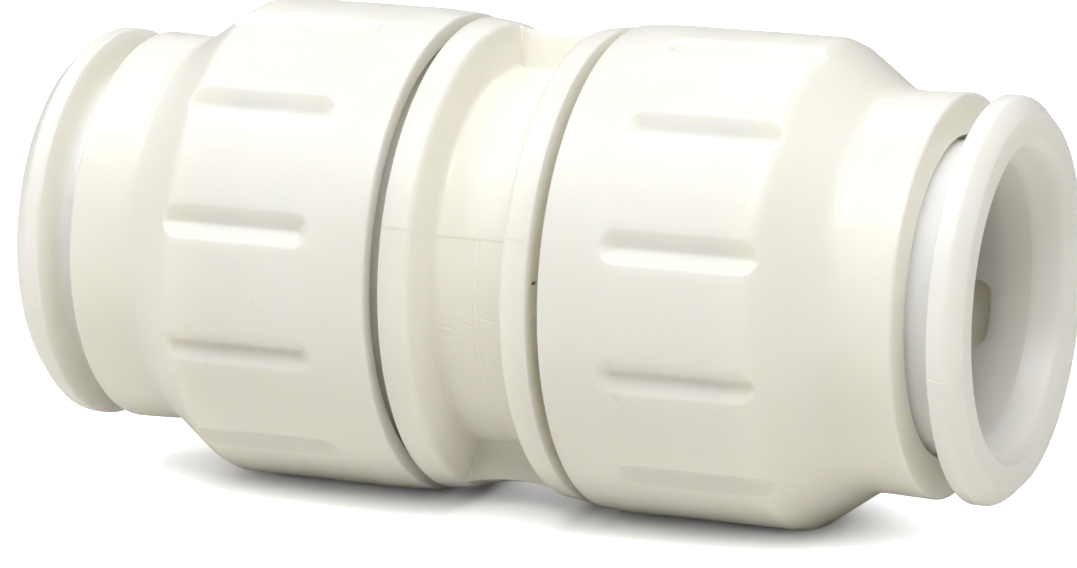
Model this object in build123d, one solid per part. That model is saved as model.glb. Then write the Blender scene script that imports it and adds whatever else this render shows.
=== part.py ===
from build123d import *
from math import cos, radians, sin
import os

# Straight push-fit pipe coupler, twist-and-lock pattern, for 22 mm pipe.
# Millimetres. The pipe axis is X, the middle of the body is the origin and +Z is up.
# Every piece is laid out on the right end along s, its distance from the middle.
# The coupler is drawn unlocked: both caps are backed off and both collets are pulled out.

# ---- body ----
stop_r = 9.6                 # flow bore through the pipe stop
stop_s = 3.0                 # the pipe's end rests here
pipe_bore_r = 11.1           # bore that the pipe slides in
seat_r = 14.2                # counterbore for the O-ring and the washer
seat_s = 14.0
body_end_s = 20.2
waist_r = 15.0
waist_end_s = 3.35
waist_fillet = 0.5
flange_r = 18.95
flange_inner_r = 18.65
flange_inner_s = 3.9
flange_inner_round = 0.75
flange_face_s = 6.2
flange_face_round = 0.15
web_thick = 2.8
web_crest_r = 18.35          # crest of a web where it meets the flanges
web_dip = 0.5                # how far the crest sinks in the middle
web_lean = 17.0              # degrees from vertical

# ---- screw thread between body and cap ----
thread_lead = 3.6
thread_root_r = 16.3
thread_depth = 1.0
thread_clearance = 0.3       # between crests and roots
thread_foot = 1.6            # width of the ridge at its foot
thread_top = 0.9
thread_sink = 0.2            # how far the ridge's foot is sunk into its wall
thread_turns = 2.0
thread_start_s = 9.8

# ---- screw cap ----
cap_rim_s = 7.3              # open end, next to the body's flange
cap_rim_r = 19.2
cap_rim_round = 0.25
cap_barrel_r = 19.38
cap_shoulder_s = 24.15       # the barrel ends and the cone begins
cap_shoulder_round = 2.4
cap_cone_end_s = 29.4
cap_neck_r = 15.68
cap_cone_fillet = 3.0
cap_face_s = 34.65
cap_face_r = 15.85
cap_face_round = 0.3
cap_mouth_r = 12.55
cap_taper_s = 29.6           # narrow end of the taper that closes the fingers
cap_chamber_s = 25.3         # wide end of that taper
cap_chamber_r = 14.45
cap_step_s = 22.05           # step that bears on the spacer washer

# ---- grip flutes round the cap ----
flute_count = 12
flute_start_s = 12.25
flute_end_s = 25.5
flute_floor_r = 18.6         # bottom of the V
flute_half_width = 1.2       # at the barrel's surface
flute_angle = {"left": 15.5, "right": 12.5}    # degrees about +X, from +Y

# ---- collet ----
collet_barrel_r = 12.1
collet_face_s = 40.0
collet_back_s = 37.45
collet_flange_r = 15.92
collet_land_r = 14.65        # edge of the flat front face
collet_rim_s = 38.75         # the bevel round that face ends here
collet_rim_round = 0.9
collet_back_round = 0.2
funnel_start_s = 36.95       # the lead-in funnel opens out of the bore here
funnel_lip_s = 39.3
funnel_lip_r = 11.95
funnel_mouth_r = 12.7
finger_end_s = 24.7          # inner end of the gripping fingers
finger_head_s = 25.2         # the heads are full size up to here
finger_head_r = 14.1
finger_taper_s = 29.4        # and taper down to the barrel here
finger_count = 6
slot_width = 5.6
slot_root_s = 33.7
slot_corner_r = 1.4
slot_angle = {"left": 10.0, "right": -20.0}    # degrees about +X, from +Y

# ---- steel grab tooth, one in each finger ----
tooth_tip_r = 11.15
tooth_tip_s = 25.5
tooth_root_r = 12.9
tooth_root_s = 26.6
tooth_thick = 0.4
tooth_span = 22.0            # degrees round the pipe

# ---- spacer washer and O-ring ----
washer_bore_r = 11.4
washer_sleeve_r = 13.95
washer_nose_s = 18.3
washer_collar_s = 21.2       # the collar stays outside the body's end
washer_collar_r = 15.8
washer_face_s = 21.95
o_ring_section_r = 1.45
o_ring_mean_r = 12.65
o_ring_s = 15.55


def turned(*corners):
    """Revolve a closed outline about the X axis. Each corner is (s, radius, rounding)."""
    points = [(s, r) for s, r, rounding in corners]
    roundings = [rounding for s, r, rounding in corners]
    outline = FilletPolyline(*points, radius=roundings, close=True)
    return revolve(make_face(outline), axis=Axis.X)


def to_end(shape, side):
    """Move a piece laid out on the right end to the asked end, keeping its thread's hand."""
    return shape if side == "right" else Rot(Z=180) * shape


def about_x(angle):
    """The place at this many degrees about +X, from +Y."""
    return Rot(X=angle - 90)


def thread_ridge(root_r, outward, start_s):
    """A right-hand helical ridge about X, standing out of or into a wall of radius root_r."""
    foot_r = root_r - outward * thread_sink
    top_r = root_r + outward * thread_depth
    path = Helix(thread_lead, thread_turns * thread_lead, foot_r)
    section = Plane.XZ * Polygon(
        (foot_r, -thread_foot / 2),
        (foot_r, thread_foot / 2),
        (top_r, thread_top / 2),
        (top_r, -thread_top / 2),
        align=None,
    )
    return Pos(start_s, 0, 0) * Rot(Y=90) * sweep(section, path, is_frenet=True)


def half_body():
    return turned(
        (0, stop_r, 0),
        (0, waist_r, 0),
        (waist_end_s, waist_r, waist_fillet),
        (flange_inner_s, flange_inner_r, flange_inner_round),
        (flange_face_s, flange_r, flange_face_round),
        (flange_face_s, thread_root_r, 0.3),
        (body_end_s, thread_root_r, 0.3),
        (body_end_s, seat_r, 0),
        (seat_s, seat_r, 0),
        (seat_s, pipe_bore_r, 0.3),
        (stop_s, pipe_bore_r, 0),
        (stop_s, stop_r, 0),
    )


def webs():
    """Two webs across the waist, opposite each other, with a saddle-shaped crest."""
    half_length = flange_inner_s
    saddle_r = (half_length ** 2 + web_dip ** 2) / (2 * web_dip)
    plate = Box(2 * half_length, web_thick, 2 * web_crest_r)
    saddle = Rot(X=90) * Cylinder(saddle_r, 2 * web_thick)
    rise = web_crest_r - web_dip + saddle_r
    plate -= Pos(0, 0, rise) * saddle
    plate -= Pos(0, 0, -rise) * saddle
    plate -= Rot(Y=90) * Cylinder(waist_r - 1, 4 * half_length)
    return Rot(X=-web_lean) * plate


def body():
    half = half_body()
    shell = half + mirror(half, about=Plane.YZ) + webs()
    ridge = thread_ridge(thread_root_r, 1, thread_start_s)
    return shell + to_end(ridge, "right") + to_end(ridge, "left")


def flute_cutter():
    """A V-shaped groove cutter with round ends, along the top of the cap. It stands above the
    barrel by as much as it cuts in."""
    half = 2 * flute_half_width
    rise = 2 * (cap_barrel_r - flute_floor_r)
    start = flute_start_s + flute_half_width
    end = flute_end_s - flute_half_width
    groove = extrude(Plane.YZ * Polygon((0, 0), (half, rise), (-half, rise), align=None), end - start)
    tip = Cone(0, half, rise, align=(Align.CENTER, Align.CENTER, Align.MIN))
    return Pos(start, 0, flute_floor_r) * (groove + tip + Pos(end - start, 0, 0) * tip)


def screw_cap(side):
    wall_r = thread_root_r + thread_depth + thread_clearance
    cap = turned(
        (cap_rim_s, wall_r, 0.3),
        (cap_rim_s, cap_rim_r, cap_rim_round),
        (cap_rim_s + 3, cap_barrel_r, 0),
        (cap_shoulder_s, cap_barrel_r, cap_shoulder_round),
        (cap_cone_end_s, cap_neck_r, cap_cone_fillet),
        (cap_face_s, cap_face_r, cap_face_round),
        (cap_face_s, cap_mouth_r, 0.25),
        (cap_taper_s, cap_mouth_r, 0),
        (cap_chamber_s, cap_chamber_r, 0),
        (cap_step_s, cap_chamber_r, 0),
        (cap_step_s, wall_r, 0),
    )
    cap += thread_ridge(wall_r, -1, thread_start_s + thread_lead / 2)
    cap = to_end(cap, side)
    cutter = to_end(flute_cutter(), side)
    for i in range(flute_count):
        cap -= about_x(flute_angle[side] + i * 360 / flute_count) * cutter
    return cap


def tooth_blank():
    """A thin cone ring. Its sectors are the teeth, which lean towards the pipe stop."""
    return turned(
        (tooth_tip_s, tooth_tip_r, 0),
        (tooth_root_s, tooth_root_r, 0),
        (tooth_root_s + tooth_thick, tooth_root_r, 0),
        (tooth_tip_s + tooth_thick, tooth_tip_r, 0),
    )


def sector(span):
    """A wedge about the X axis, centred on +Z, that covers this many degrees."""
    reach = 2 * tooth_root_r
    half = radians(span / 2)
    left = (-reach * sin(half), reach * cos(half))
    right = (reach * sin(half), reach * cos(half))
    return extrude(Plane.YZ * Polygon((0, 0), right, left, align=None), 2 * tooth_root_s)


def grab_teeth(side):
    tooth = to_end(tooth_blank() & sector(tooth_span), side)
    pitch = 360 / finger_count
    first = slot_angle[side] + pitch / 2
    return [about_x(first + i * pitch) * tooth for i in range(finger_count)]


def finger_slot():
    """The gap between two fingers, with a rounded root."""
    length = slot_root_s - finger_end_s + 2
    reach = 2 * (finger_head_r - pipe_bore_r)
    gap = Box(length, slot_width, reach, align=(Align.MAX, Align.CENTER, Align.CENTER))
    root_edges = gap.edges().filter_by(Axis.Z).group_by(Axis.X)[-1]
    return Pos(slot_root_s, 0, collet_barrel_r) * fillet(root_edges, slot_corner_r)


def collet(side):
    sleeve = turned(
        (funnel_start_s, pipe_bore_r, 1.5),
        (funnel_lip_s, funnel_lip_r, 1.2),
        (collet_face_s, funnel_mouth_r, 0.15),
        (collet_face_s, collet_land_r, 0.12),
        (collet_rim_s, collet_flange_r, collet_rim_round),
        (collet_back_s, collet_flange_r, collet_back_round),
        (collet_back_s, collet_barrel_r, 0.3),
        (finger_taper_s, collet_barrel_r, 0.5),
        (finger_head_s, finger_head_r, 0.2),
        (finger_end_s, finger_head_r, 0.2),
        (finger_end_s, pipe_bore_r, 0.3),
    )
    sleeve = to_end(sleeve, side)
    slot = to_end(finger_slot(), side)
    for i in range(finger_count):
        sleeve -= about_x(slot_angle[side] + i * 360 / finger_count) * slot
    for tooth in grab_teeth(side):
        sleeve -= tooth
    return sleeve


def spacer_washer(side):
    washer = turned(
        (washer_nose_s, washer_bore_r, 0.3),
        (washer_nose_s, washer_sleeve_r, 0.3),
        (washer_collar_s, washer_sleeve_r, 0),
        (washer_collar_s, washer_collar_r, 0.2),
        (washer_face_s, washer_collar_r, 0.2),
        (washer_face_s, washer_bore_r, 0.3),
    )
    return to_end(washer, side)


def o_ring(side):
    ring = Rot(Y=90) * Torus(o_ring_mean_r, o_ring_section_r)
    return to_end(Pos(o_ring_s, 0, 0) * ring, side)


def main():
    pieces = {"body": body()}
    for side in ("left", "right"):
        pieces[f"{side}_screw_cap"] = screw_cap(side)
        pieces[f"{side}_collet"] = collet(side)
        pieces[f"{side}_spacer_washer"] = spacer_washer(side)
        pieces[f"{side}_o_ring"] = o_ring(side)
        for number, tooth in enumerate(grab_teeth(side), start=1):
            pieces[f"{side}_grab_tooth_{number}"] = tooth
    os.makedirs("parts", exist_ok=True)
    for name, piece in pieces.items():
        export_step(piece, f"parts/{name}.step")


main()
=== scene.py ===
from math import acos, atan2, ceil, cos, pi, radians, sin, tan

import bmesh
import bpy
import numpy as np
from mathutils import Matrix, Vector


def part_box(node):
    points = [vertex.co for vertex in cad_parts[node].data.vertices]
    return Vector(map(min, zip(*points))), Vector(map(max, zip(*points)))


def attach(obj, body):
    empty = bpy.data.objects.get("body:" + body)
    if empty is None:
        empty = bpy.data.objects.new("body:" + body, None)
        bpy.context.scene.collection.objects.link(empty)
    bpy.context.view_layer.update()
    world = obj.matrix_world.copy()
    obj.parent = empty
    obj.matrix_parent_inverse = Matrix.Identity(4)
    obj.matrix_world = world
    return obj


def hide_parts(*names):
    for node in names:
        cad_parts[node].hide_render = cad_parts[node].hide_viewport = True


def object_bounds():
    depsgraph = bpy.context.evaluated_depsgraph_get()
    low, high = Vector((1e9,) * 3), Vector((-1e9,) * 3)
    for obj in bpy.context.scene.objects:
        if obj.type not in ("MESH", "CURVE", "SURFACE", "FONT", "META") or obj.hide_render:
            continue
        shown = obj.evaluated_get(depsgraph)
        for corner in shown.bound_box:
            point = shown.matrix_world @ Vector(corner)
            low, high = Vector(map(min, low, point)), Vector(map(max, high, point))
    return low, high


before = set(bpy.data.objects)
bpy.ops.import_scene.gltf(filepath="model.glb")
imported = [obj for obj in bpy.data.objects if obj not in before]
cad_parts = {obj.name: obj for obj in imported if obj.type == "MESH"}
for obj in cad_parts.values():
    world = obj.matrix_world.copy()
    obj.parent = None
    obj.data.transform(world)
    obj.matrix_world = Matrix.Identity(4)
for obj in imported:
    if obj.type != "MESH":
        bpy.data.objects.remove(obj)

# The looks of a straight push-fit coupler. Shapes are worked out in millimetres, along s, the
# distance from the middle, and written in metres. Angles about the pipe axis are in degrees
# about +X, from +Y. The ends of the pieces come from the frame.
MM = 0.001
cad_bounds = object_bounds()


def ends_of(node):
    """Start and end of a right-hand node along s, and its largest radius, in millimetres."""
    low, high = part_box(node)
    return low.x / MM, high.x / MM, high.z / MM


cap_rim_s, cap_face_s, cap_barrel_r = ends_of("right_screw_cap")
finger_end_s, collet_face_s, collet_flange_r = ends_of("right_collet")
washer_face_s = ends_of("right_spacer_washer")[1]
body_end_s = ends_of("body")[1]
SIGN = {"left": -1, "right": 1}

# ---- body ----
STOP_R, STOP_S = 9.6, 3.0
BORE_R = 11.1
SEAT_R, SEAT_S = 14.2, 14.0
WAIST_R, WAIST_END_S = 15.0, 3.35
FLANGE_R, FLANGE_INNER_R = 18.95, 18.65
FLANGE_INNER_S, FLANGE_FACE_S = 3.9, 6.2
WEB_THICK = 2.8
WEB_CREST_R, WEB_DIP = 18.35, 0.5
WEB_FILLET, WEB_ROUND = 0.4, 0.2
WEB_ANGLES = (73.0, 253.0)
WEB_REACH = 0.15             # a web and its fillets lie within this many radians

# ---- lines that the mould leaves: one along the body, with widths in degrees, and a seam round
# the middle of the waist ----
PARTING_ANGLES = (163.0, 343.0)
PARTING_STEP, PARTING_STEP_WIDTH, PARTING_FADE = 0.06, 0.15, 6.0
PARTING_GROOVE, PARTING_GROOVE_WIDTH = 0.03, 0.3
SEAM_RIDGE, SEAM_RIDGE_S, SEAM_RIDGE_WIDTH = 0.1, 0.28, 0.13
SEAM_STEP, SEAM_STEP_S, SEAM_STEP_WIDTH, SEAM_FADE = 0.05, 0.55, 0.07, 0.7
SEAM_ABOVE = 0.15            # how much of the seam is left on the upper half
SEAM_REACH = 0.9             # the ridge and the step lie nearer the middle than this
CYLINDER_END_S = 2.6         # the waist is a plain cylinder up to here

# ---- screw thread ----
LEAD = 3.6
THREAD_ROOT_R, THREAD_DEPTH, THREAD_CLEARANCE = 16.3, 1.0, 0.3
THREAD_FOOT, THREAD_TOP = 1.6, 0.9
THREAD_START_S, THREAD_TURNS = 9.8, 2.0
THREAD_RUN_OUT = 0.06        # turns over which each end of the ridge fades

# ---- screw cap ----
CAP_WALL_R = THREAD_ROOT_R + THREAD_DEPTH + THREAD_CLEARANCE
CAP_WALL = 0.35              # nothing nearer the thread than this is outside the cap
CAP_RIM_R, CAP_RIM_LENGTH = 19.2, 3.0
CAP_SHOULDER_S = 24.15
CAP_CONE_END_S, CAP_NECK_R = 29.4, 15.68
CAP_FACE_R, CAP_MOUTH_R = 15.85, 12.55
CAP_TAPER_S = 29.6
CAP_CHAMBER_S, CAP_CHAMBER_R = 25.3, 14.45
CAP_STEP_S = 22.05
THREAD_WALL_END_S = 19.5

# ---- flutes ----
FLUTE_COUNT = 12
FLUTE_START_S, FLUTE_END_S = 12.25, 25.5
FLUTE_FLOOR_R, FLUTE_HALF_WIDTH = 18.6, 1.2
FLUTE_ROUND, FLUTE_EDGE_ROUND = 0.2, 0.07
FLUTE_ANGLE = {"left": 15.5, "right": 12.5}

# ---- collet ----
FUNNEL_START_S, FUNNEL_LIP_S = 36.95, 39.3
FUNNEL_LIP_R, FUNNEL_MOUTH_R = 11.95, 12.7
COLLET_LAND_R = 14.65
COLLET_RIM_S, COLLET_BACK_S = 38.75, 37.45
BARREL_R = 12.1
FINGER_TAPER_S = 29.4
FINGER_HEAD_S, FINGER_HEAD_R = 25.2, 14.1
SLOT_COUNT, SLOT_WIDTH = 6, 5.6
SLOT_ROOT_S, SLOT_CORNER_R = 33.7, 1.4
SLOT_ANGLE = {"left": 10.0, "right": -20.0}

# A brown chip of dirt on the outer face of the right-hand flange: its middle and half sizes.
CHIP_PLACE, CHIP_SIZE = (6.2, -17.1, 2.05), (0.3, 0.5, 0.16)

# ---- wear: strokes from (s, theta) to (s, theta), with width and depth ----
MARK_R = 16.0                # angles along a stroke are turned into lengths at this radius
BURR_HEIGHT, BURR_PLACE = 0.6, 1.5   # in depths and widths of the stroke
WAIST_MARKS = [
    ((-2.9, 190.0), (-1.6, 190.8), 0.1, 0.07),
    ((-2.4, 193.5), (-0.9, 192.6), 0.09, 0.05),
    ((-1.2, 188.0), (0.1, 189.4), 0.08, 0.05),
    ((0.9, 186.5), (2.3, 187.6), 0.09, 0.05),
    ((-2.7, 198.0), (-1.5, 199.5), 0.1, 0.05),
]
CAP_MARKS = {
    "left": [
        ((21.0, 198.0), (21.4, 200.5), 0.16, 0.12),
        ((16.7, 183.4), (16.9, 184.0), 0.12, 0.1),
        ((24.6, 193.0), (25.0, 194.0), 0.14, 0.1),
        ((26.6, 166.0), (27.0, 166.6), 0.12, 0.08),
    ],
    "right": [
        ((13.4, 197.6), (13.9, 200.0), 0.12, 0.1),
        ((13.7, 201.0), (13.5, 202.2), 0.12, 0.08),
        ((29.2, 197.5), (29.5, 199.0), 0.12, 0.08),
    ],
}
COLLET_MARKS = {
    "left": [
        ((37.6, 196.0), (38.5, 199.0), 0.1, 0.08),
        ((38.0, 203.0), (38.6, 206.0), 0.1, 0.07),
    ],
    "right": [
        ((37.7, 190.4), (38.9, 191.2), 0.07, 0.07),
        ((38.0, 194.2), (39.1, 195.4), 0.07, 0.06),
        ((39.2, 188.6), (39.8, 192.6), 0.07, 0.07),
        ((39.3, 194.0), (39.9, 190.5), 0.06, 0.07),
        ((38.3, 198.6), (38.9, 201.0), 0.07, 0.05),
        ((39.4, 184.5), (39.8, 187.0), 0.06, 0.06),
    ],
}

# ---- how finely the meshes are divided: lengths along an outline, and angles in degrees ----
BODY_SPACING, BODY_THREAD_SPACING = 1.5, 0.55
CREST_SPACING, WAIST_SPACING, SEAM_SPACING = 0.5, 0.14, 0.08
CAP_SPACING, CAP_INSIDE_SPACING, CAP_THREAD_SPACING = 1.0, 1.2, 0.45
CAP_FINE_SPACING, CAP_FINE_MARGIN = 0.12, 0.3
COLLET_SPACING, RIM_SPACING = 0.6, 0.09
MARCH = 0.02                         # outlines are measured out in stretches of this
SMALL_ROUNDING = 0.3                 # up to this, a rounding gets coarse facets
FINE_FACET, COARSE_FACET = 9, 20
SMALLEST_TURN = 0.04
SHARP_ANGLE = 32
MARK_MARGIN, MARK_TURN = 0.8, 0.2
ON_WALL = 0.02                       # a thread's wall is told by its radius, this closely


# ---------------------------------------------------------------- shape helpers
def smooth_min(a, b, k):
    """The smaller of a and b, with the corner between them rounded over about k."""
    h = np.clip(0.5 + 0.5 * (b - a) / k, 0, 1)
    return b + (a - b) * h - k * h * (1 - h)


def turn_from(theta, angle, pitch=360.0):
    """Signed angle from the nearest of the directions angle, angle + pitch and so on."""
    return (theta - angle + pitch / 2) % pitch - pitch / 2


def bump_at(distance, width):
    """A bell-shaped bump, 1 at no distance."""
    return np.exp(-((distance / width) ** 2))


def rounded(corners):
    """Points (s, r) of a closed outline. Each corner is (s, r, rounding)."""
    points = []
    for i, (s, r, rounding) in enumerate(corners):
        here = np.array((s, r), float)
        back = np.array(corners[i - 1][:2], float) - here
        ahead = np.array(corners[(i + 1) % len(corners)][:2], float) - here
        back /= np.linalg.norm(back)
        ahead /= np.linalg.norm(ahead)
        half = acos(float(np.clip(back @ ahead, -1, 1))) / 2
        middle = back + ahead
        centre = here + middle / np.linalg.norm(middle) * rounding / sin(half)
        first = here + back * rounding / tan(half) - centre
        last = here + ahead * rounding / tan(half) - centre
        start = atan2(first[1], first[0])
        sweep = (atan2(last[1], last[0]) - start + pi) % (2 * pi) - pi
        facet = FINE_FACET if rounding > SMALL_ROUNDING else COARSE_FACET
        count = max(4, ceil(abs(sweep) / radians(facet)))
        for k in range(count + 1):
            a = start + sweep * k / count
            points.append(centre + rounding * np.array((cos(a), sin(a))))
    return points


def outline(corners, step):
    """A rounded outline with extra points, about step(s, r) apart."""
    points = rounded(corners)
    dense = []
    for here, ahead in zip(points, points[1:] + points[:1]):
        dense.append(here)
        length = np.linalg.norm(ahead - here)
        reached = 0.0
        for along in np.arange(0.0, length, MARCH):
            point = here + (ahead - here) * along / length
            longest = step(*point)
            if along - reached > longest - MARCH / 2 and length - along > 0.5 * longest:
                dense.append(point)
                reached = along
    return np.array(dense)


def angles(*groups):
    """All the angles of these groups once, in order round the axis."""
    every = np.concatenate([np.asarray(g, float).ravel() % 360 for g in groups])
    every = np.unique(np.round(every, 3))
    gaps = np.diff(np.append(every, every[0] + 360))
    return every[gaps > SMALLEST_TURN]


def scratched(s, r, theta, marks):
    """Height that short scratches and nicks add to a surface. Each mark is a stroke from
    (s, theta) to (s, theta), with its width and its depth; a burr lies along its upper edge."""
    height = np.zeros_like(r)
    for (s0, theta0), (s1, theta1), width, depth in marks:
        along = np.array((s1 - s0, np.radians(theta1 - theta0) * MARK_R))
        length = np.hypot(*along)
        along /= length
        ds, dt = s - s0, np.radians(theta - theta0) * MARK_R
        ahead = ds * along[0] + dt * along[1]
        aside = ds * along[1] - dt * along[0]
        past = np.maximum(0, np.maximum(-ahead, ahead - length))
        near = bump_at(past, width)
        burr = BURR_HEIGHT * bump_at(aside + BURR_PLACE * width, width)
        height += near * depth * (burr - bump_at(aside, width))
    return height


def around(mark):
    """Angles close enough together to show a mark."""
    turns = sorted((mark[0][1], mark[1][1]))
    return np.arange(turns[0] - MARK_MARGIN, turns[1] + MARK_MARGIN, MARK_TURN)


def mesh_piece(name, vertices, faces):
    mesh = bpy.data.meshes.new(name)
    mesh.from_pydata([tuple(v) for v in vertices], [], faces)
    shell = bmesh.new()
    shell.from_mesh(mesh)
    bmesh.ops.recalc_face_normals(shell, faces=shell.faces)
    shell.to_mesh(mesh)
    shell.free()
    piece = bpy.data.objects.new(name, mesh)
    bpy.context.scene.collection.objects.link(piece)
    return piece


def soften(piece):
    """Smooth shading, with sharp edges only where two faces meet steeply."""
    piece.data.polygons.foreach_set("use_smooth", [True] * len(piece.data.polygons))
    piece.data.set_sharp_from_angle(angle=radians(SHARP_ANGLE))


def turned(name, points, thetas, relief, side="right"):
    """A ring-shaped piece: a closed outline swept round the X axis. relief(s, r, theta) gives
    back s and r with the surface's shape added."""
    s, r, theta = np.broadcast_arrays(points[:, :1], points[:, 1:], thetas[None, :])
    s, r = relief(s, r, theta)
    turn = np.radians(theta)
    x = SIGN[side] * s
    vertices = np.stack([x, r * np.cos(turn), r * np.sin(turn)], -1).reshape(-1, 3) * MM
    rows, columns = theta.shape
    i, j = np.meshgrid(np.arange(rows), np.arange(columns), indexing="ij")
    ahead, across = (i + 1) % rows, (j + 1) % columns
    quads = np.stack(
        [i * columns + j, ahead * columns + j, ahead * columns + across, i * columns + across], -1
    )
    return mesh_piece(name, vertices, quads.reshape(-1, 4).tolist())


def thread_height(s, theta, side, start_s):
    """Height of a right-hand helical ridge at (s, theta)."""
    turn = theta + 90 if side == "right" else 270 - theta
    along = (s - start_s) / LEAD - turn / 360
    offset = (along + 0.5) % 1.0 - 0.5
    place = (s - start_s) / LEAD - offset
    flank = (THREAD_FOOT - THREAD_TOP) / 2
    height = np.clip((THREAD_FOOT / 2 - np.abs(offset) * LEAD) / flank, 0, 1)
    fade = np.clip(place / THREAD_RUN_OUT, 0, 1)
    fade = fade * np.clip((THREAD_TURNS - place) / THREAD_RUN_OUT, 0, 1)
    return THREAD_DEPTH * height * fade


# ---------------------------------------------------------------- the body
def fillet_rise(distance, size):
    """Height of a concave fillet at this distance from the wall that it leans on."""
    gap = np.clip(size - distance, 0, size)
    return size - np.sqrt(size ** 2 - gap ** 2)


def with_webs(side_s, r, lean):
    """Radius of the waist with its two webs, which have a saddle-shaped crest and are filleted
    at the foot and against the flanges. lean is the angle from the nearer web."""
    saddle_r = (FLANGE_INNER_S ** 2 + WEB_DIP ** 2) / (2 * WEB_DIP)
    reach = np.clip(side_s, 0, FLANGE_INNER_S)
    crest = WEB_CREST_R - WEB_DIP + saddle_r - np.sqrt(saddle_r ** 2 - reach ** 2)
    from_flange = np.maximum(WAIST_END_S + 0.2 - side_s, 0)
    half = WEB_THICK / 2 + fillet_rise(from_flange, WEB_FILLET)
    # 0.2 and 0.02 only keep the divisions finite, away from the web and at its middle
    top = crest / np.maximum(np.cos(lean), 0.2)
    flank = half / np.maximum(np.abs(np.sin(lean)), 0.02)
    web = smooth_min(top, flank, WEB_ROUND)
    beside = np.maximum(WAIST_R * np.abs(np.sin(lean)) - half, 0)
    foot = WAIST_R + fillet_rise(beside, WEB_FILLET)
    return np.maximum(r, np.maximum(web, np.where(side_s < WAIST_END_S, foot, 0)))


def parting_line(theta):
    """A step down to the lower half of the body, with a fine groove along it."""
    line = turn_from(theta, PARTING_ANGLES[0])
    far_line = turn_from(theta, PARTING_ANGLES[1])
    step = np.tanh(far_line / PARTING_STEP_WIDTH) * bump_at(far_line, PARTING_FADE)
    step -= np.tanh(line / PARTING_STEP_WIDTH) * bump_at(line, PARTING_FADE)
    groove = bump_at(line, PARTING_GROOVE_WIDTH) + bump_at(far_line, PARTING_GROOVE_WIDTH)
    return PARTING_STEP * step - PARTING_GROOVE * groove


def mould_seam(s, theta):
    """The mould's seam round the middle of the waist: a fine ridge beside a step."""
    lower_half = np.abs(turn_from(theta, WEB_ANGLES[1])) < 90
    from_step = s - SEAM_STEP_S
    step = SEAM_STEP * np.tanh(from_step / SEAM_STEP_WIDTH) * bump_at(from_step, SEAM_FADE)
    ridge = SEAM_RIDGE * bump_at(s - SEAM_RIDGE_S, SEAM_RIDGE_WIDTH)
    return np.where(lower_half, 1.0, SEAM_ABOVE) * (step + ridge)


def body_relief(s, r, theta):
    side_s = np.abs(s)
    lean = np.radians(turn_from(theta, WEB_ANGLES[0], 180.0))
    on_waist = (side_s < FLANGE_FACE_S - 0.3) & (r > WAIST_R - 0.1)
    between_flanges = on_waist & (side_s < FLANGE_INNER_S + 0.6)
    out = np.where(between_flanges, with_webs(side_s, r, lean), r)
    out = out + np.where(on_waist, parting_line(theta), 0)
    on_cylinder = on_waist & (side_s < CYLINDER_END_S) & (np.abs(lean) > WEB_REACH)
    fine = mould_seam(s, theta) + scratched(s, r, theta, WAIST_MARKS)
    out = out + np.where(on_cylinder, fine, 0)
    for side in SIGN:
        here = (SIGN[side] * s > FLANGE_FACE_S + 0.5) & (np.abs(r - THREAD_ROOT_R) < ON_WALL)
        ridge = thread_height(side_s, theta, side, THREAD_START_S)
        out = out + np.where(here, ridge, 0)
    return s, out


def body_outline():
    right = [
        (WAIST_END_S, WAIST_R, 0.55),
        (FLANGE_INNER_S, FLANGE_INNER_R, 0.7),
        (FLANGE_FACE_S, FLANGE_R, 0.15),
        (FLANGE_FACE_S, THREAD_ROOT_R, 0.3),
        (body_end_s, THREAD_ROOT_R, 0.3),
        (body_end_s, SEAT_R, 0.25),
        (SEAT_S, SEAT_R, 0.15),
        (SEAT_S, BORE_R, 0.3),
        (STOP_S, BORE_R, 0.2),
        (STOP_S, STOP_R, 0.3),
    ]
    left = [(-s, r, rounding) for s, r, rounding in reversed(right)]

    def step(s, r):
        if r > THREAD_ROOT_R - 0.1 and abs(s) > FLANGE_FACE_S + 0.2:
            return BODY_THREAD_SPACING
        if r > FLANGE_INNER_R:
            return CREST_SPACING
        if r > WAIST_R - 0.1 and abs(s) < FLANGE_FACE_S:
            return SEAM_SPACING if abs(s) < SEAM_REACH else WAIST_SPACING
        return BODY_SPACING

    return outline(right + left, step)


def make_body():
    plain = np.arange(0, 360, 3.0)
    # degrees from the middle of a web, then from a parting line
    flank, crest = np.linspace(3.6, 9.0, 28), np.linspace(-3.6, 3.6, 7)
    line = np.linspace(-0.9, 0.9, 13)
    web_edges = [a + side * flank for a in WEB_ANGLES for side in (-1, 1)]
    web_tops = [a + crest for a in WEB_ANGLES]
    lines = [a + line for a in PARTING_ANGLES]
    worn = [around(mark) for mark in WAIST_MARKS]
    thetas = angles(plain, *web_edges, *web_tops, *lines, *worn)
    return turned("coupler_body_shell", body_outline(), thetas, body_relief)


# ---------------------------------------------------------------- the screw caps
def cap_relief(side):
    start = FLUTE_START_S + FLUTE_HALF_WIDTH
    end = FLUTE_END_S - FLUTE_HALF_WIDTH
    slope = (cap_barrel_r - FLUTE_FLOOR_R) / FLUTE_HALF_WIDTH

    def relief(s, r, theta):
        lean = np.radians(turn_from(theta, FLUTE_ANGLE[side], 360 / FLUTE_COUNT))
        past = np.maximum(0, np.maximum(start - s, s - end))
        away = np.hypot(r * np.sin(lean), past)
        floor = FLUTE_FLOOR_R + slope * (np.hypot(away, FLUTE_ROUND) - FLUTE_ROUND)
        outside = r > CAP_WALL_R + CAP_WALL
        fluted = smooth_min(r, floor, FLUTE_EDGE_ROUND)
        out = np.where(outside, fluted + scratched(s, r, theta, CAP_MARKS[side]), r)
        in_thread = (np.abs(r - CAP_WALL_R) < ON_WALL) & (s < washer_face_s - 0.3)
        ridge = thread_height(s, theta, side, THREAD_START_S + LEAD / 2)
        return s, out - np.where(in_thread, ridge, 0)

    return relief


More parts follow.
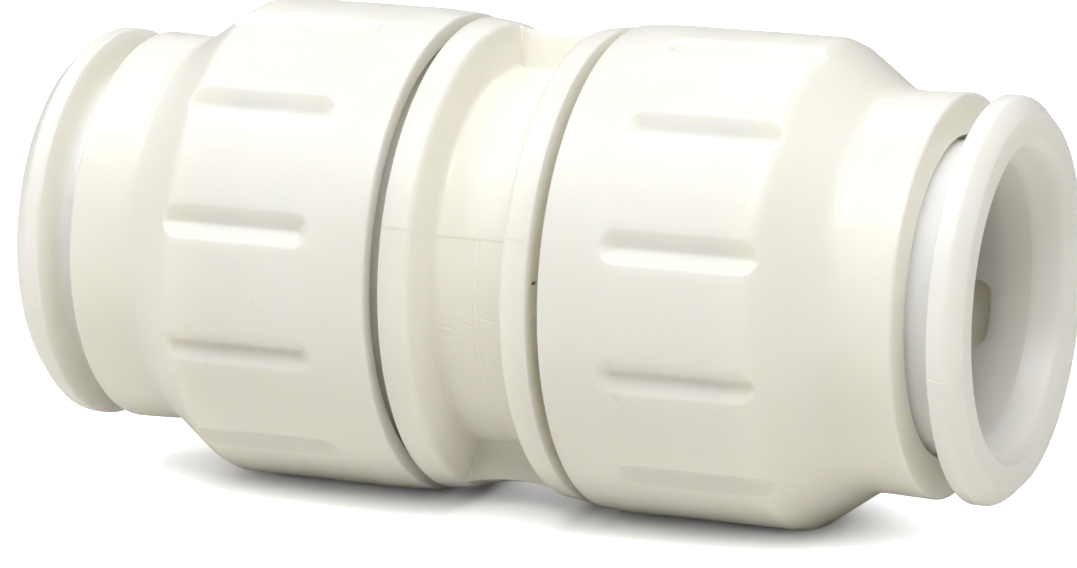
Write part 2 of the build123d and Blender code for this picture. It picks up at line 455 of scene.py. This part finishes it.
def cap_outline(side):
    corners = [
        (cap_rim_s, CAP_WALL_R, 0.25),
        (cap_rim_s, CAP_RIM_R, 0.22),
        (cap_rim_s + CAP_RIM_LENGTH, cap_barrel_r, 8.0),
        (CAP_SHOULDER_S, cap_barrel_r, 2.4),
        (CAP_CONE_END_S, CAP_NECK_R, 3.0),
        (cap_face_s, CAP_FACE_R, 0.28),
        (cap_face_s, CAP_MOUTH_R, 0.25),
        (CAP_TAPER_S, CAP_MOUTH_R, 0.8),
        (CAP_CHAMBER_S, CAP_CHAMBER_R, 0.5),
        (CAP_STEP_S, CAP_CHAMBER_R, 0.2),
        (CAP_STEP_S, CAP_WALL_R, 0.3),
    ]

    def step(s, r):
        if r < CAP_WALL_R + 0.1:
            on_thread = r > CAP_WALL_R - 0.1 and s < THREAD_WALL_END_S
            return CAP_THREAD_SPACING if on_thread else CAP_INSIDE_SPACING
        from_start = abs(s - FLUTE_START_S - FLUTE_HALF_WIDTH / 2)
        from_end = abs(s - FLUTE_END_S + FLUTE_HALF_WIDTH / 2)
        flute_ends = min(from_start, from_end) < FLUTE_HALF_WIDTH
        worn = any(
            min(a[0], b[0]) - CAP_FINE_MARGIN < s < max(a[0], b[0]) + CAP_FINE_MARGIN
            for a, b, _, _ in CAP_MARKS[side]
        )
        return CAP_FINE_SPACING if flute_ends or worn else CAP_SPACING

    return outline(corners, step)


def make_cap(side):
    centres = FLUTE_ANGLE[side] + np.arange(FLUTE_COUNT) * 360 / FLUTE_COUNT
    # degrees from the middle of a flute, on it and beside it
    across = np.concatenate([np.linspace(-4.5, 4.5, 27), np.linspace(6.3, 23.7, 8)])
    worn = np.concatenate([around(mark) for mark in CAP_MARKS[side]])
    thetas = angles(centres[:, None] + across[None, :], worn)
    return turned(f"{side}_cap_shell", cap_outline(side), thetas, cap_relief(side), side)


# ---------------------------------------------------------------- the collets
def collet_relief(side):
    def relief(s, r, theta):
        outside = (s > COLLET_BACK_S + 0.05) & (r > BARREL_R + 1.5)
        return s, r + np.where(outside, scratched(s, r, theta, COLLET_MARKS[side]), 0)

    return relief


def collet_outline():
    corners = [
        (FUNNEL_START_S, BORE_R, 0.6),
        (FUNNEL_LIP_S, FUNNEL_LIP_R, 1.2),
        (collet_face_s, FUNNEL_MOUTH_R, 0.15),
        (collet_face_s, COLLET_LAND_R, 0.12),
        (COLLET_RIM_S, collet_flange_r, 0.9),
        (COLLET_BACK_S, collet_flange_r, 0.2),
        (COLLET_BACK_S, BARREL_R, 1.1),
        (FINGER_TAPER_S, BARREL_R, 0.5),
        (FINGER_HEAD_S, FINGER_HEAD_R, 0.2),
        (finger_end_s, FINGER_HEAD_R, 0.2),
        (finger_end_s, BORE_R, 0.3),
    ]

    def step(s, r):
        on_rim = s > COLLET_BACK_S + 0.15 and r > COLLET_LAND_R + 0.05
        return RIM_SPACING if on_rim else COLLET_SPACING

    return outline(corners, step)


def slot_cutter(side):
    """A rounded plug for each gap between two fingers, all in one mesh."""
    plug = bmesh.new()
    near = finger_end_s - 1.5
    half = SLOT_WIDTH / 2
    upper = [
        (SLOT_ROOT_S - SLOT_CORNER_R * (1 - cos(a)), half - SLOT_CORNER_R * (1 - sin(a)))
        for a in np.linspace(0, pi / 2, 9)
    ]
    lower = [(s, -y) for s, y in upper]
    ring = [(near, -half)] + lower[::-1] + upper + [(near, half)]
    for i in range(SLOT_COUNT):
        turn = radians(SLOT_ANGLE[side] + i * 360 / SLOT_COUNT)
        out = np.array((0, cos(turn), sin(turn)))
        across = np.array((0, -sin(turn), cos(turn)))
        layers = []
        for height in (BORE_R - 2.5, FINGER_HEAD_R + 1.9):
            layers.append([
                plug.verts.new(
                    (np.array((SIGN[side] * s, 0, 0)) + out * height + across * y) * MM
                )
                for s, y in ring
            ])
        inner, outer = layers
        plug.faces.new(inner)
        plug.faces.new(outer[::-1])
        for k in range(len(ring)):
            ahead = (k + 1) % len(ring)
            plug.faces.new([inner[k], outer[k], outer[ahead], inner[ahead]])
    bmesh.ops.recalc_face_normals(plug, faces=plug.faces)
    mesh = bpy.data.meshes.new("slot_cutter")
    plug.to_mesh(mesh)
    plug.free()
    cutter = bpy.data.objects.new("slot_cutter", mesh)
    bpy.context.scene.collection.objects.link(cutter)
    return cutter


def apply_modifiers(piece):
    graph = bpy.context.evaluated_depsgraph_get()
    done = bpy.data.meshes.new_from_object(piece.evaluated_get(graph))
    piece.modifiers.clear()
    old = piece.data
    piece.data = done
    bpy.data.meshes.remove(old)


def make_collet(side):
    worn = [around(mark) for mark in COLLET_MARKS[side]]
    thetas = angles(np.arange(0, 360, 2.0), *worn)
    collet = turned(f"{side}_collet_shell", collet_outline(), thetas, collet_relief(side), side)
    cutter = slot_cutter(side)
    cut = collet.modifiers.new("slots", "BOOLEAN")
    cut.operation = "DIFFERENCE"
    cut.solver = "EXACT"
    cut.object = cutter
    apply_modifiers(collet)
    bpy.data.objects.remove(cutter)
    return collet


# ---------------------------------------------------------------- materials
class Look:
    """A material under construction: its node tree, and short ways to add to it."""

    def __init__(self, name):
        self.material = bpy.data.materials.new(name)
        self.material.use_nodes = True
        self.tree = self.material.node_tree
        self.shader = self.tree.nodes["Principled BSDF"]
        self.place = self.add("ShaderNodeTexCoord").outputs["Object"]

    def add(self, kind, **settings):
        node = self.tree.nodes.new(kind)
        for key, value in settings.items():
            setattr(node, key, value)
        return node

    def link(self, source, target):
        self.tree.links.new(source, target)

    def noise(self, scale, detail, stretch=None):
        node = self.add("ShaderNodeTexNoise")
        node.inputs["Scale"].default_value = scale
        node.inputs["Detail"].default_value = detail
        place = self.place
        if stretch:
            mapping = self.add("ShaderNodeMapping")
            mapping.inputs["Scale"].default_value = stretch
            self.link(place, mapping.inputs["Vector"])
            place = mapping.outputs["Vector"]
        self.link(place, node.inputs["Vector"])
        return node.outputs["Fac"]

    def ramp(self, value, low, high, out_low=0.0, out_high=1.0):
        node = self.add("ShaderNodeMapRange")
        node.inputs["From Min"].default_value = low
        node.inputs["From Max"].default_value = high
        node.inputs["To Min"].default_value = out_low
        node.inputs["To Max"].default_value = out_high
        self.link(value, node.inputs["Value"])
        return node.outputs["Result"]

    def beyond(self, s):
        """0 nearer the middle than s millimetres along the pipe, 1 farther out."""
        split = self.add("ShaderNodeSeparateXYZ")
        self.link(self.place, split.inputs["Vector"])
        size = self.add("ShaderNodeMath", operation="ABSOLUTE")
        self.link(split.outputs["X"], size.inputs[0])
        return self.ramp(size.outputs[0], (s - 0.2) * MM, (s + 0.2) * MM)

    def outside(self, r):
        """0 nearer the pipe axis than r millimetres, 1 farther out."""
        flat = self.add("ShaderNodeVectorMath", operation="MULTIPLY")
        flat.inputs[1].default_value = (0.0, 1.0, 1.0)
        self.link(self.place, flat.inputs[0])
        length = self.add("ShaderNodeVectorMath", operation="LENGTH")
        self.link(flat.outputs["Vector"], length.inputs[0])
        return self.ramp(length.outputs["Value"], (r - 0.1) * MM, (r + 0.1) * MM)

    def spot(self, middle, size):
        """1 in an uneven spot with this middle and these half sizes in millimetres, else 0."""
        away = self.add("ShaderNodeVectorMath", operation="SUBTRACT")
        away.inputs[1].default_value = tuple(c * MM for c in middle)
        self.link(self.place, away.inputs[0])
        scaled = self.add("ShaderNodeVectorMath", operation="DIVIDE")
        scaled.inputs[1].default_value = tuple(c * MM for c in size)
        self.link(away.outputs["Vector"], scaled.inputs[0])
        length = self.add("ShaderNodeVectorMath", operation="LENGTH")
        self.link(scaled.outputs["Vector"], length.inputs[0])
        ragged = self.add("ShaderNodeMath", operation="ADD")
        self.link(length.outputs["Value"], ragged.inputs[0])
        self.link(self.ramp(self.noise(4000, 2.0), 0.3, 0.7, -0.35, 0.35), ragged.inputs[1])
        return self.ramp(ragged.outputs[0], 0.85, 1.05, 1.0, 0.0)

    def mix(self, amount, first, second):
        """Colour that goes from first to second with amount."""
        node = self.add("ShaderNodeMix", data_type="RGBA")
        self.link(amount, node.inputs["Factor"])
        colours = [n for n in node.inputs if n.type == "RGBA"]
        for value, socket in zip((first, second), colours):
            if isinstance(value, tuple):
                socket.default_value = (*value, 1.0)
            else:
                self.link(value, socket)
        return [o for o in node.outputs if o.type == "RGBA"][0]

    def bump(self, height, distance, before=None, strength=1.0):
        node = self.add("ShaderNodeBump")
        node.inputs["Strength"].default_value = strength
        node.inputs["Distance"].default_value = distance
        self.link(height, node.inputs["Height"])
        if before:
            self.link(before, node.inputs["Normal"])
        return node.outputs["Normal"]


def moulded_plastic(
    name, base, tint, roughness, grain, glow, depth, painted_barrel_light=None, painted_bore_shade=None, chip=None
):
    """Injection-moulded plastic: faint colour drift, fine grain and flow marks. glow is how much
    light goes through it, and depth how far. On a collet, nearer the middle than the back of its
    flange, the two colours given for the outside and the inside are painted light: outside a
    painted highlight, lighter than the plastic, and inside the bore a painted shade, darker and
    warmer. chip is the colour of the chip of dirt."""
    look = Look(name)
    shader = look.shader
    drift = look.ramp(look.noise(90, 3.0), 0.35, 0.65)
    colour = look.mix(drift, base, tint)
    # Painted light: at the back of a collet the outside of the barrel is painted lighter than the
    # plastic, a painted highlight, and the bore inside is painted a darker, warmer shade.
    if painted_barrel_light:
        behind = look.mix(look.outside(BARREL_R - 0.5), painted_bore_shade, painted_barrel_light)
        colour = look.mix(look.beyond(COLLET_BACK_S - 0.2), behind, colour)
    if chip:
        colour = look.mix(look.spot(CHIP_PLACE, CHIP_SIZE), colour, chip)
    look.link(colour, shader.inputs["Base Color"])
    rough = look.ramp(look.noise(260, 4.0), 0.3, 0.7, roughness - 0.05, roughness + 0.07)
    look.link(rough, shader.inputs["Roughness"])
    flow = look.noise(140, 2.0, stretch=(0.25, 1.0, 1.0))
    fine = look.noise(2600, 2.0)
    normal = look.bump(flow, 0.00008, strength=0.35)
    normal = look.bump(fine, 0.000012 * grain, normal, strength=0.5)
    look.link(normal, shader.inputs["Normal"])
    shader.inputs["IOR"].default_value = 1.48
    shader.inputs["Subsurface Weight"].default_value = glow
    shader.inputs["Subsurface Radius"].default_value = (1.0, 0.9, 0.7)
    shader.inputs["Subsurface Scale"].default_value = depth
    return look.material


def rubber():
    look = Look("seal_rubber")
    shader = look.shader
    shade = look.mix(look.noise(500, 3.0), (0.012, 0.012, 0.013), (0.03, 0.03, 0.032))
    look.link(shade, shader.inputs["Base Color"])
    rough = look.ramp(look.noise(800, 2.0), 0.3, 0.7, 0.38, 0.55)
    look.link(rough, shader.inputs["Roughness"])
    grain = look.bump(look.noise(3000, 2.0), 0.00002)
    look.link(grain, shader.inputs["Normal"])
    return look.material


def steel():
    look = Look("tooth_steel")
    shader = look.shader
    streaks = look.noise(900, 3.0, stretch=(0.1, 1.0, 1.0))
    shade = look.mix(streaks, (0.52, 0.52, 0.53), (0.68, 0.68, 0.69))
    look.link(shade, shader.inputs["Base Color"])
    shader.inputs["Metallic"].default_value = 1.0
    look.link(look.ramp(streaks, 0.3, 0.7, 0.2, 0.34), shader.inputs["Roughness"])
    look.link(look.bump(streaks, 0.00001), shader.inputs["Normal"])
    return look.material


# ---------------------------------------------------------------- putting it together
def dress(piece, body, node, material):
    soften(piece)
    piece.data.materials.clear()
    piece.data.materials.append(material)
    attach(piece, body)
    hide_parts(node)


def paint_cad(node, material):
    for material_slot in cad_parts[node].material_slots:
        material_slot.material = material


looks = {
    "body": moulded_plastic(
        "body_plastic", (0.85, 0.83, 0.755), (0.87, 0.855, 0.785),
        roughness=0.36, grain=1.4, glow=0.7, depth=0.003, chip=(0.16, 0.1, 0.04)),
    "cap": moulded_plastic(
        "cap_plastic", (0.86, 0.842, 0.765), (0.88, 0.863, 0.795),
        roughness=0.34, grain=1.0, glow=0.6, depth=0.003),
    "collet": moulded_plastic(
        "collet_acetal", (0.885, 0.868, 0.805), (0.905, 0.888, 0.83),
        roughness=0.335, grain=0.5, glow=0.7, depth=0.004,
        # the two colours on the next line are painted light: a painted highlight on the barrel
        # and a painted warm shade in the bore
        painted_barrel_light=(0.98, 0.968, 0.925), painted_bore_shade=(0.87, 0.84, 0.77)),
    "washer": moulded_plastic(
        "washer_plastic", (0.78, 0.78, 0.75), (0.82, 0.82, 0.79),
        roughness=0.4, grain=1.2, glow=0.1, depth=0.001),
    "rubber": rubber(),
    "steel": steel(),
}
dress(make_body(), "coupler_body", "body", looks["body"])
for side in SIGN:
    dress(make_cap(side), f"{side}_cap", f"{side}_screw_cap", looks["cap"])
    dress(make_collet(side), f"{side}_gripper", f"{side}_collet", looks["collet"])
    paint_cad(f"{side}_o_ring", looks["rubber"])
    paint_cad(f"{side}_spacer_washer", looks["washer"])
    for number in range(1, SLOT_COUNT + 1):
        paint_cad(f"{side}_grab_tooth_{number}", looks["steel"])


# ---------------------------------------------------------------- floor, light, camera
FLOOR_REACH, FLOOR_GAP = 3.0, 0.0002                   # metres
# name, azimuth, elevation, power
LIGHTS = (
    ("front_light", 0, 60, 2.4),
    ("right_light", 45, 55, 1.4),
    ("end_light", 85, 65, 0.75),
    ("back_light", 180, 60, 1.2),
    ("left_light", -70, 45, 1.6),
)
FLOOR_LIGHTS = ((5, 24, 15), (85, 20, 35), (-90, 20, 15), (180, 30, 20))
WORLD_STRENGTH = 0.06
CAMERA_AZIMUTH, CAMERA_ELEVATION = 23.157, 12.28
CAMERA_DISTANCE = 0.43427
CAMERA_AIM = (-0.000674, -0.002014)                    # to the right and up, as it sees them
LENS, SENSOR_WIDTH, CLIP_START = 181.93, 36.0, 0.01


def make_floor(name, level, light, dark):
    look = Look(name)
    tone = look.mix(look.noise(6, 2.0), dark, light)
    look.link(tone, look.shader.inputs["Base Color"])
    look.shader.inputs["Roughness"].default_value = 0.9
    look.shader.inputs["Specular IOR Level"].default_value = 0.1
    reach = FLOOR_REACH
    corners = [(x * reach, y * reach, level) for x, y in ((-1, -1), (1, -1), (1, 1), (-1, 1))]
    mesh = bpy.data.meshes.new(name)
    mesh.from_pydata(corners, [], [(0, 1, 2, 3)])
    mesh.materials.append(look.material)
    floor = bpy.data.objects.new(name, mesh)
    bpy.context.scene.collection.objects.link(floor)
    return floor


def area_light(name, azimuth, elevation, power, size=0.4, distance=0.7):
    """A round soft light aimed at the coupler. Azimuth 0 is in front, 90 on the right."""
    data = bpy.data.lights.new(name, "AREA")
    data.shape = "DISK"
    data.size = size
    data.energy = power
    light = bpy.data.objects.new(name, data)
    turn, rise = radians(azimuth), radians(elevation)
    place = Vector((sin(turn) * cos(rise), -cos(turn) * cos(rise), sin(rise))) * distance
    light.location = place
    light.rotation_euler = (-place).to_track_quat("-Z", "Y").to_euler()
    bpy.context.scene.collection.objects.link(light)
    return light


def make_camera():
    """A long lens, from the right and a little above the coupler."""
    azimuth, elevation = radians(CAMERA_AZIMUTH), radians(CAMERA_ELEVATION)
    back = Vector((sin(azimuth) * cos(elevation), -cos(azimuth) * cos(elevation), sin(elevation)))
    right = back.cross(Vector((0, 0, -1))).normalized()
    up = back.cross(right)
    data = bpy.data.cameras.new("camera")
    data.sensor_width = SENSOR_WIDTH
    data.lens = LENS
    data.clip_start = CLIP_START
    camera = bpy.data.objects.new("camera", data)
    place = back * CAMERA_DISTANCE
    aim = CAMERA_AIM[0] * right + CAMERA_AIM[1] * up
    camera.location = place
    camera.rotation_euler = (aim - place).to_track_quat("-Z", "Y").to_euler()
    bpy.context.scene.collection.objects.link(camera)
    bpy.context.scene.camera = camera


lowest = cad_bounds[0][2]
# One floor is seen and takes the shadow. The other, just below it, gives the bounced light.
seen = make_floor("floor", lowest, (0.95, 0.95, 0.95), (0.93, 0.93, 0.94))
seen.visible_diffuse = False
seen.visible_glossy = False
seen.visible_transmission = False
seen.visible_shadow = False
bounce = make_floor(
    "bounce_floor", lowest - FLOOR_GAP, (0.83, 0.815, 0.765), (0.81, 0.795, 0.745))
bounce.visible_camera = False

for name, azimuth, elevation, power in LIGHTS:
    area_light(name, azimuth, elevation, power)
floor_only = bpy.data.collections.new("floor_only")
floor_only.objects.link(seen)
for azimuth, elevation, power in FLOOR_LIGHTS:
    lamp = area_light(f"floor_light_{azimuth}", azimuth, elevation, power, size=1.0, distance=1.2)
    lamp.light_linking.receiver_collection = floor_only
world = bpy.data.worlds.new("world")
bpy.context.scene.world = world
world.use_nodes = True
background = world.node_tree.nodes["Background"]
background.inputs["Color"].default_value = (1, 1, 1, 1)
background.inputs["Strength"].default_value = WORLD_STRENGTH
bpy.context.scene.view_settings.view_transform = "Standard"
make_camera()
